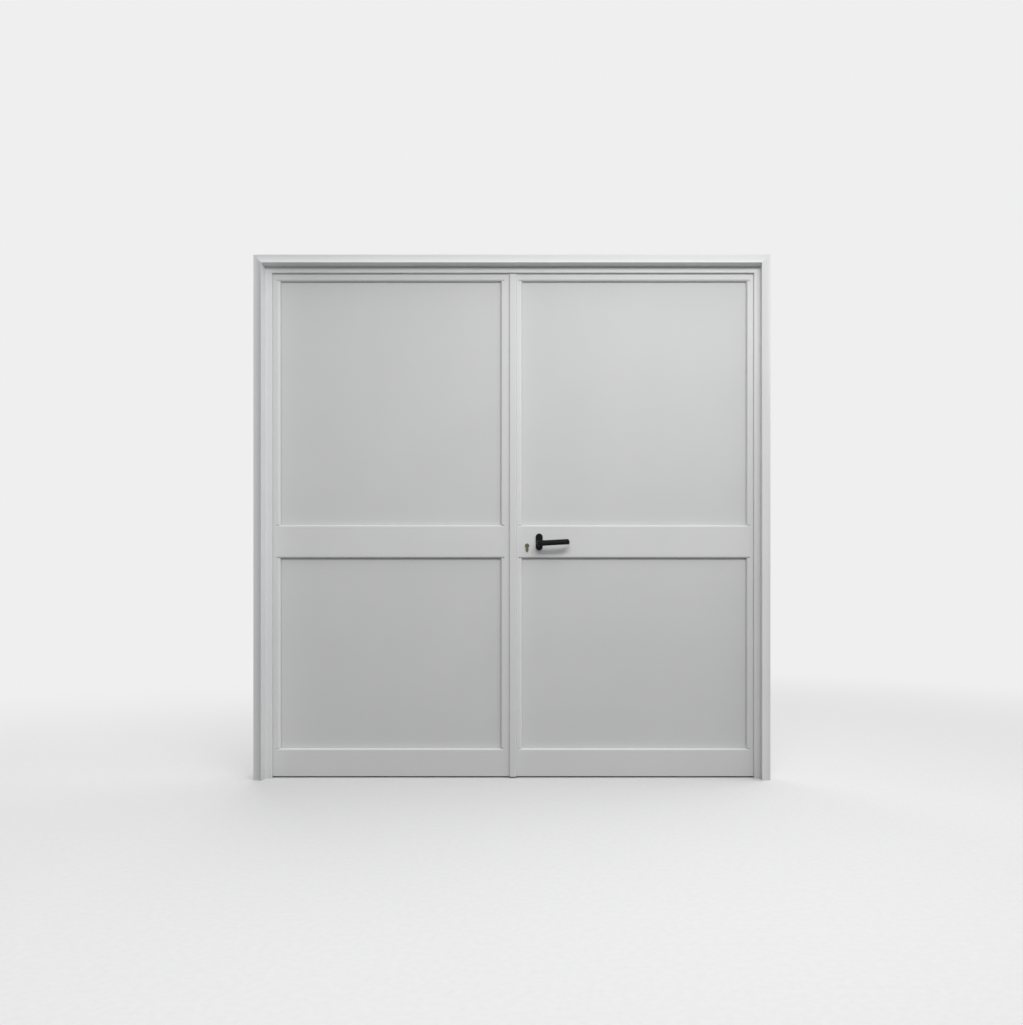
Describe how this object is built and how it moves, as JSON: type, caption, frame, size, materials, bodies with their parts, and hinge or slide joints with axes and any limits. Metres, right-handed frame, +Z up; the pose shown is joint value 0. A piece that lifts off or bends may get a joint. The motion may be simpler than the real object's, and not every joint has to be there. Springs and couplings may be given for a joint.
{
  "type": "aluminium double door with frame",
  "caption": "White aluminium double door with flush panels, a central meeting strip, a black lever handle and a coved three sided frame",
  "frame": {"origin": "on the floor, in the middle of the frame's width and of the leaf thickness", "axes": "+X to the right as seen from the front, +Y away from the viewer, the way the leaves open, +Z up"},
  "size_m": [2.066, 0.174, 2.1],
  "materials": {
    "white_frame": "satin",
    "white_panel": "satin",
    "black_handle": "satin",
    "dark_brass": "satin",
    "lock_steel": "satin",
    "seal_rubber": "matte",
    "cleat_aluminium": "satin"
  },
  "bodies": {
    "frame": {"jamb_left": "white_frame", "jamb_right": "white_frame", "frame_head": "white_frame", "frame_corner_cleats": "cleat_aluminium", "frame_gasket": "seal_rubber", "left_hinge_frame_halves": "white_frame", "right_hinge_frame_halves": "white_frame", "left_hinge_pins": "lock_steel", "right_hinge_pins": "lock_steel", "head_bolt_keeper": "lock_steel"},
    "left_leaf": {"left_hinge_stile": "white_frame", "left_meeting_stile": "white_frame", "left_top_rail": "white_frame", "left_mid_rail": "white_frame", "left_bottom_rail": "white_frame", "left_upper_panel": "white_panel", "left_lower_panel": "white_panel", "left_upper_beads": "white_frame", "left_lower_beads": "white_frame", "left_upper_gaskets": "seal_rubber", "left_lower_gaskets": "seal_rubber", "left_rail_cleats": "cleat_aluminium", "left_hinge_leaf_halves": "white_frame", "meeting_strip": "white_frame", "meeting_strip_carrier": "white_frame", "meeting_strip_seal": "seal_rubber", "lock_keeper": "lock_steel", "top_bolt_guide": "white_frame", "bottom_bolt_guide": "white_frame"},
    "right_leaf": {"right_hinge_stile": "white_frame", "right_meeting_stile": "white_frame", "right_top_rail": "white_frame", "right_mid_rail": "white_frame", "right_bottom_rail": "white_frame", "right_upper_panel": "white_panel", "right_lower_panel": "white_panel", "right_upper_beads": "white_frame", "right_lower_beads": "white_frame", "right_upper_gaskets": "seal_rubber", "right_lower_gaskets": "seal_rubber", "right_rail_cleats": "cleat_aluminium", "right_hinge_leaf_halves": "white_frame", "lock_case": "lock_steel", "lock_cover": "lock_steel", "lock_faceplate": "lock_steel", "cylinder_body": "dark_brass", "handle_plate_front": "black_handle", "handle_plate_rear": "black_handle"},
    "handles": {"lever_front": "black_handle", "lever_rear": "black_handle", "spindle": "lock_steel", "lock_follower": "lock_steel"},
    "latch": {"latch_bolt": "lock_steel"},
    "cylinder_core": {"cylinder_plugs": "dark_brass", "cylinder_cam": "lock_steel"},
    "deadlock": {"dead_bolt": "lock_steel"},
    "top_shoot_bolt": {"top_bolt": "lock_steel"},
    "bottom_shoot_bolt": {"bottom_bolt": "lock_steel"}
  },
  "joints": [
    {"name": "left_leaf_swing", "type": "hinge", "parent": "frame", "child": "left_leaf", "pos_m": [-0.9865, 0.035, 1.05], "axis": [0, 0, 1], "range_deg": [0, 110]},
    {"name": "right_leaf_swing", "type": "hinge", "parent": "frame", "child": "right_leaf", "pos_m": [0.9865, 0.035, 1.05], "axis": [0, 0, -1], "range_deg": [0, 110]},
    {"name": "handle_turn", "type": "hinge", "parent": "right_leaf", "child": "handles", "pos_m": [0.1055, 0, 0.946], "axis": [0, 1, 0], "range_deg": [0, 45], "stiffness_Nm_per_rad": 1.5, "springref_deg": -22.92},
    {"name": "latch_slide", "type": "slide", "parent": "right_leaf", "child": "latch", "axis": [1, 0, 0], "range_m": [0, 0.011]},
    {"name": "cylinder_turn", "type": "hinge", "parent": "right_leaf", "child": "cylinder_core", "pos_m": [0.0563, 0, 0.9395], "axis": [0, 1, 0], "range_deg": [0, 360]},
    {"name": "deadlock_slide", "type": "slide", "parent": "right_leaf", "child": "deadlock", "axis": [-1, 0, 0], "range_m": [0, 0.016]},
    {"name": "top_shoot_bolt_slide", "type": "slide", "parent": "left_leaf", "child": "top_shoot_bolt", "axis": [0, 0, 1], "range_m": [0, 0.018]},
    {"name": "bottom_shoot_bolt_slide", "type": "slide", "parent": "left_leaf", "child": "bottom_shoot_bolt", "axis": [0, 0, -1], "range_m": [0, 0.0195]}
  ],
  "couplings": [
    {"joint": "latch_slide", "follows": "handle_turn", "m_per_rad": 0.014},
    {"joint": "deadlock_slide", "follows": "cylinder_turn", "m_per_rad": 0.0025465}
  ]
}
